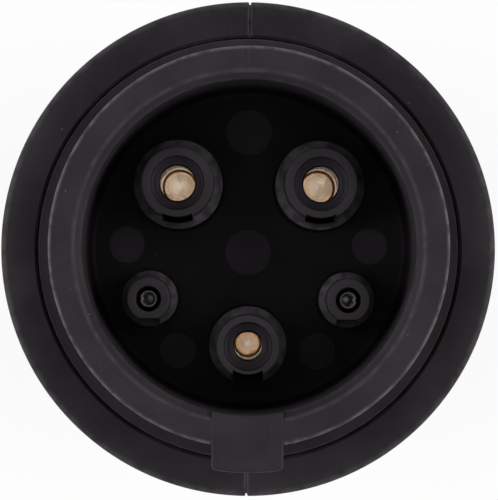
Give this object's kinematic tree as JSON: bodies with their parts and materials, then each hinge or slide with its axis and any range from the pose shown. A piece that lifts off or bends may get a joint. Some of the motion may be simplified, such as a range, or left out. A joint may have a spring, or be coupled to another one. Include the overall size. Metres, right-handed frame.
{
  "type": "ev charging plug adapter",
  "caption": "Cylindrical charging adapter with a round keyed plug nose holding stepped socket towers at one end and a shield-shaped pin inlet at the other.",
  "frame": {"origin": "on the body axis in the plane of the rear rim that the adapter stands on", "axes": "+Z along the body axis towards the plug nose, +Y towards the two power sockets and away from the key, +X to the right when the plug face is looked at"},
  "size_m": [0.0582, 0.0582, 0.126],
  "materials": {
    "shell_plastic": "fine-textured black plastic",
    "nose_plastic": "satin black plastic",
    "retainer_plastic": "dark grey plastic",
    "inlet_plastic": "satin black plastic",
    "tip_plastic": "black plastic",
    "contact_brass": "turned copper alloy with a thin warm plating",
    "signal_metal": "dark tinned metal",
    "spring_metal": "rolled spring alloy",
    "pin_metal": "turned and plated copper alloy",
    "screw_steel": "zinc-plated steel",
    "seal_rubber": "black rubber",
    "power_insulation": "black wire insulation",
    "ground_insulation": "green wire insulation",
    "signal_insulation": "blue wire insulation"
  },
  "bodies": {
    "root": {"left_shell": "shell_plastic", "right_shell": "shell_plastic", "shell_screws": "screw_steel", "plug_nose": "nose_plastic", "front_retainer": "retainer_plastic", "front_retainer_screws": "screw_steel", "front_seal": "seal_rubber", "power_socket_left": "contact_brass", "power_socket_right": "contact_brass", "ground_socket": "contact_brass", "signal_socket_left": "signal_metal", "signal_socket_right": "signal_metal", "power_band_left": "spring_metal", "power_band_right": "spring_metal", "ground_band": "spring_metal", "power_wire_left": "power_insulation", "power_wire_right": "power_insulation", "ground_wire": "ground_insulation", "signal_wire_left": "signal_insulation", "signal_wire_right": "signal_insulation", "inlet_housing": "inlet_plastic", "rear_retainer": "retainer_plastic", "rear_retainer_screws": "screw_steel", "rear_seal": "seal_rubber", "power_pin_left": "pin_metal", "power_pin_right": "pin_metal", "ground_pin": "pin_metal", "signal_pin_left": "pin_metal", "signal_pin_right": "pin_metal", "power_tip_left": "tip_plastic", "power_tip_right": "tip_plastic", "ground_tip": "tip_plastic"}
  },
  "joints": []
}
